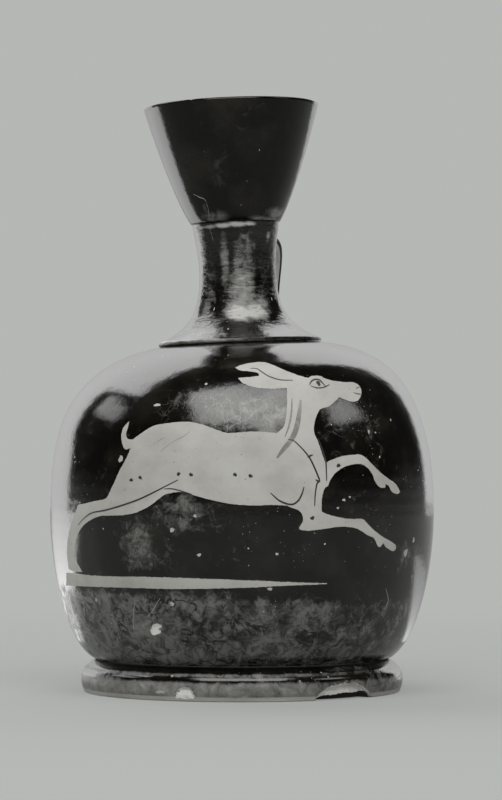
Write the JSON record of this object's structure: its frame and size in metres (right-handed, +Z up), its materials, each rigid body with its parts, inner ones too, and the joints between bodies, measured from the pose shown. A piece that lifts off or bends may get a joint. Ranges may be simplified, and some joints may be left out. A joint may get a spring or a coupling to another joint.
{
  "type": "squat lekythos",
  "caption": "Squat lekythos, a black-gloss pottery oil flask with a broad body, narrow neck, flaring mouth, ring foot and strap handle, painted with a running hind.",
  "frame": {"origin": "centre of the foot's resting face", "axes": "+Z up through the body's axis; -Y towards the painted front; the handle is at +Y"},
  "size_m": [0.0922, 0.0922, 0.1412],
  "materials": {
    "gloss": "worn black slip gloss, mottled and pitted",
    "clay": "bare fired clay, dull, as pale as the monochrome photograph shows it; may be repainted",
    "drawn_line": "fine brushed lines of dark slip",
    "wash": "thinned slip brushed on bare clay"
  },
  "bodies": {
    "root": {"foot": "gloss", "body": "gloss", "neck": "gloss", "mouth": "gloss", "handle": "gloss"}
  },
  "joints": []
}
